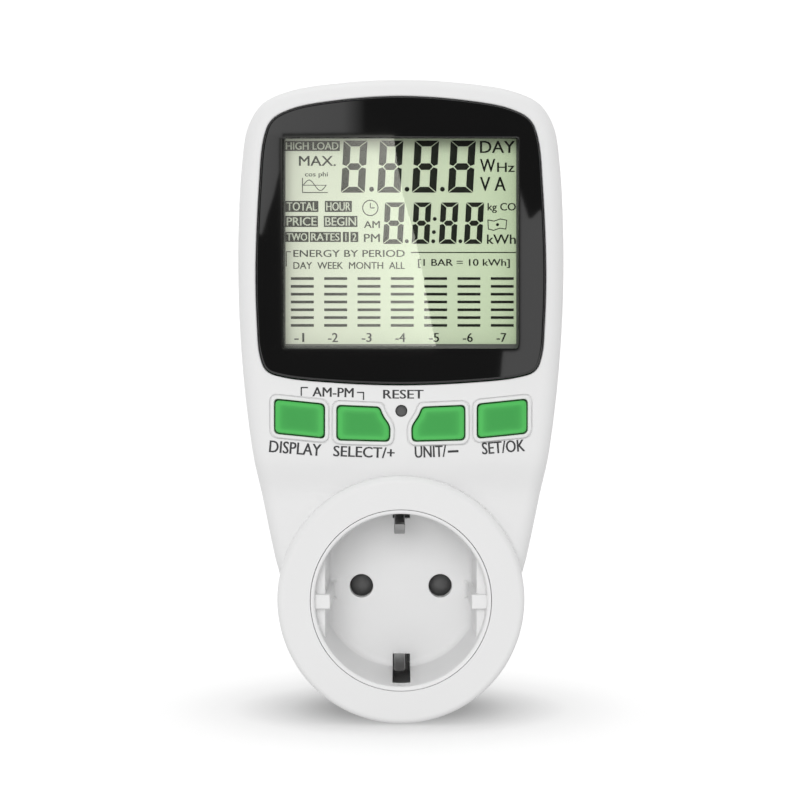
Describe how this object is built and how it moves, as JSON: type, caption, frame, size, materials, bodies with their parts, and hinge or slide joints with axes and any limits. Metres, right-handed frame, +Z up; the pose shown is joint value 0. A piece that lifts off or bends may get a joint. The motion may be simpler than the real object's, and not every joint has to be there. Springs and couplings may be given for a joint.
{
  "type": "plug-in power meter",
  "caption": "Plug-in energy meter: rear earthed plug, front earthed socket below a segment display with push keys and a reset button.",
  "frame": {"origin": "centre of the rear plug's end face, on the line shared by the plug and the socket", "axes": "+Y out of the rear plug, towards the wall; the display and the socket face -Y; +Z up, towards the display's top; +X to the right of someone facing the display"},
  "size_m": [0.0742, 0.077, 0.1456],
  "materials": {
    "housing_white": "white moulded housing, satin",
    "socket_white": "white moulded socket, satin",
    "bezel_black": "polished black window frame",
    "clear_pane": "clear acrylic pane",
    "lcd_glass": "pale green reflective liquid crystal panel",
    "key_green": "green key caps",
    "dark_plastic": "dark grey moulding",
    "silicone": "grey silicone",
    "board_green": "green glass fibre board",
    "steel": "zinc plated steel",
    "nickel": "nickel plated brass",
    "brass": "bare brass",
    "carrier_grey": "grey heat resistant moulding",
    "capacitor_box": "yellow film capacitor case",
    "sleeve": "dark shrink sleeve",
    "battery_wrap": "green cell wrap",
    "chip_black": "black epoxy",
    "varistor_blue": "blue epoxy coating",
    "fuse_glass": "glass tube with metal caps",
    "wire_brown": "brown insulation",
    "wire_blue": "blue insulation",
    "plate_silver": "blank silver sticker"
  },
  "bodies": {
    "housing": {"front_cover": "housing_white", "rear_cover": "housing_white", "socket_cup": "socket_white", "socket_earth_bracket": "nickel", "shutter_spring": "steel", "contact_carrier": "carrier_grey", "line_contact": "brass", "neutral_contact": "brass", "line_pin": "nickel", "neutral_pin": "nickel", "pin_retainer": "carrier_grey", "plug_earth_bracket": "nickel", "earth_rivet": "brass", "window_bezel": "bezel_black", "window_pane": "clear_pane", "lcd_panel": "lcd_glass", "lower_zebra_strip": "silicone", "upper_zebra_strip": "silicone", "lcd_holder": "carrier_grey", "display_board": "board_green", "display_controller": "chip_black", "keypad_mat": "silicone", "reset_switch": "chip_black", "main_board": "board_green", "suppression_capacitor": "capacitor_box", "storage_capacitor": "sleeve", "backup_battery": "battery_wrap", "metering_chip": "chip_black", "power_transistor": "chip_black", "board_link": "chip_black", "current_shunt": "brass", "varistor": "varistor_blue", "glass_fuse": "fuse_glass", "line_terminal": "brass", "line_feed_wire": "wire_brown", "line_return_wire": "wire_brown", "neutral_wire": "wire_blue", "rating_plate": "plate_silver", "cover_screw_1": "steel", "display_screw_1": "steel", "main_screw_1": "steel", "cover_screw_2": "steel", "display_screw_2": "steel", "main_screw_2": "steel", "cover_screw_3": "steel", "display_screw_3": "steel", "main_screw_3": "steel", "cover_screw_4": "steel", "display_screw_4": "steel", "main_screw_4": "steel", "carrier_screw_1": "steel", "carrier_screw_2": "steel"},
    "mode_key": {"mode_key": "key_green"},
    "up_key": {"up_key": "key_green"},
    "down_key": {"down_key": "key_green"},
    "set_key": {"set_key": "key_green"},
    "reset_button": {"reset_button": "dark_plastic"},
    "pin_shutter": {"pin_shutter": "dark_plastic"}
  },
  "joints": [
    {"name": "mode_key_press", "type": "slide", "parent": "housing", "child": "mode_key", "axis": [0, 1, 0], "range_m": [0, 0.0008], "stiffness_N_per_m": 400, "springref_m": -0.0006},
    {"name": "up_key_press", "type": "slide", "parent": "housing", "child": "up_key", "axis": [0, 1, 0], "range_m": [0, 0.0008], "stiffness_N_per_m": 400, "springref_m": -0.0006},
    {"name": "down_key_press", "type": "slide", "parent": "housing", "child": "down_key", "axis": [0, 1, 0], "range_m": [0, 0.0008], "stiffness_N_per_m": 400, "springref_m": -0.0006},
    {"name": "set_key_press", "type": "slide", "parent": "housing", "child": "set_key", "axis": [0, 1, 0], "range_m": [0, 0.0008], "stiffness_N_per_m": 400, "springref_m": -0.0006},
    {"name": "reset_button_press", "type": "slide", "parent": "housing", "child": "reset_button", "axis": [0, 1, 0], "range_m": [0, 0.0005], "stiffness_N_per_m": 300, "springref_m": -0.0006},
    {"name": "pin_shutter_turn", "type": "hinge", "parent": "housing", "child": "pin_shutter", "pos_m": [0, -0.0369, 0], "axis": [0, 1, 0], "range_deg": [0, 38], "stiffness_Nm_per_rad": 0.002, "springref_deg": -17.19, "deforming": ["shutter_spring"]}
  ]
}
